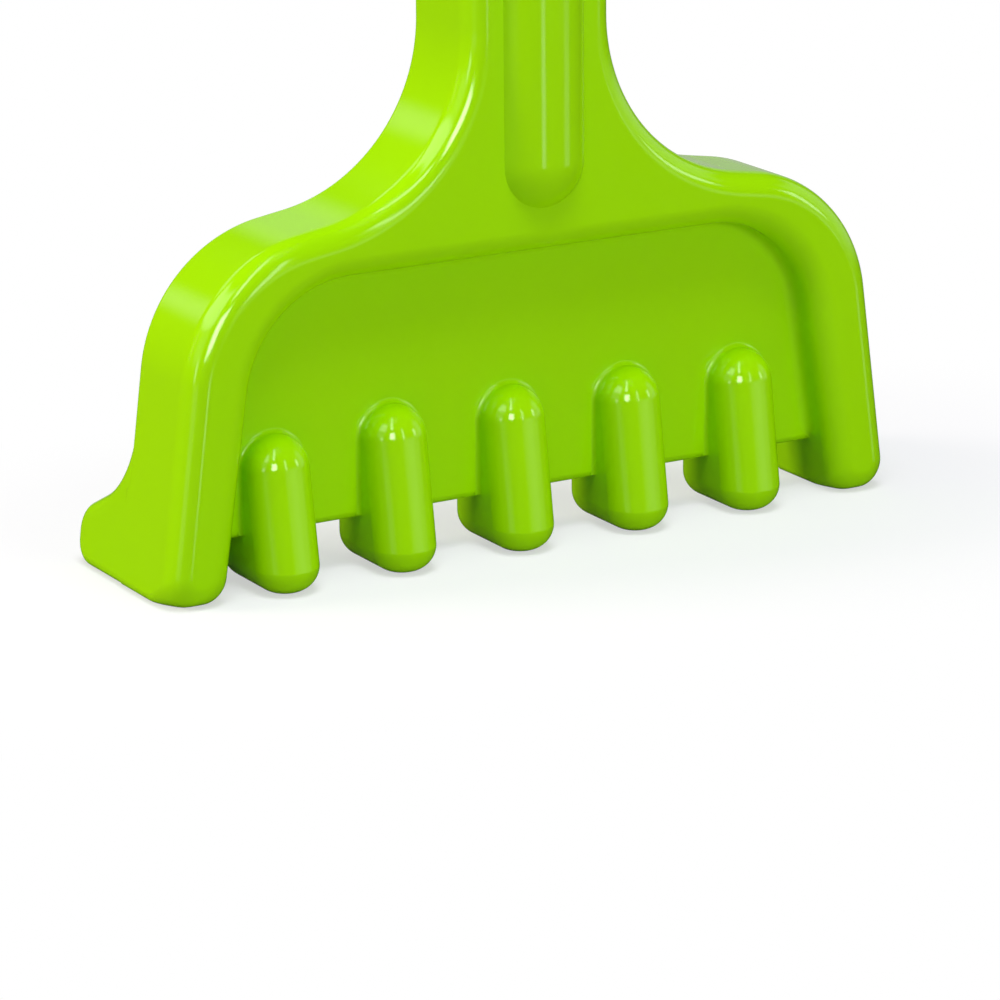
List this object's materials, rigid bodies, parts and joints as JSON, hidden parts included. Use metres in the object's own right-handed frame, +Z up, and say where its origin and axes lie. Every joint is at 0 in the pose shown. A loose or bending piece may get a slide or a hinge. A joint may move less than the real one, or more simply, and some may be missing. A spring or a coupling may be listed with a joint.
{
  "type": "sand rake",
  "caption": "Beach toy rake in lime green plastic: arched head with heeled legs, a recessed web and round-fronted tines, tall flat handle with a front rib and a hanging hole.",
  "frame": {"origin": "middle of the bounding box on the floor, under the head", "axes": "+Z up along the handle, -Y towards the rake's front with the rib, +X to the right seen from the front"},
  "size_m": [0.1734, 0.0494, 0.37],
  "materials": {
    "front_plastic": "glossy",
    "rear_plastic": "glossy"
  },
  "bodies": {
    "root": {"front_shell": "front_plastic", "rear_shell": "rear_plastic"}
  },
  "joints": []
}
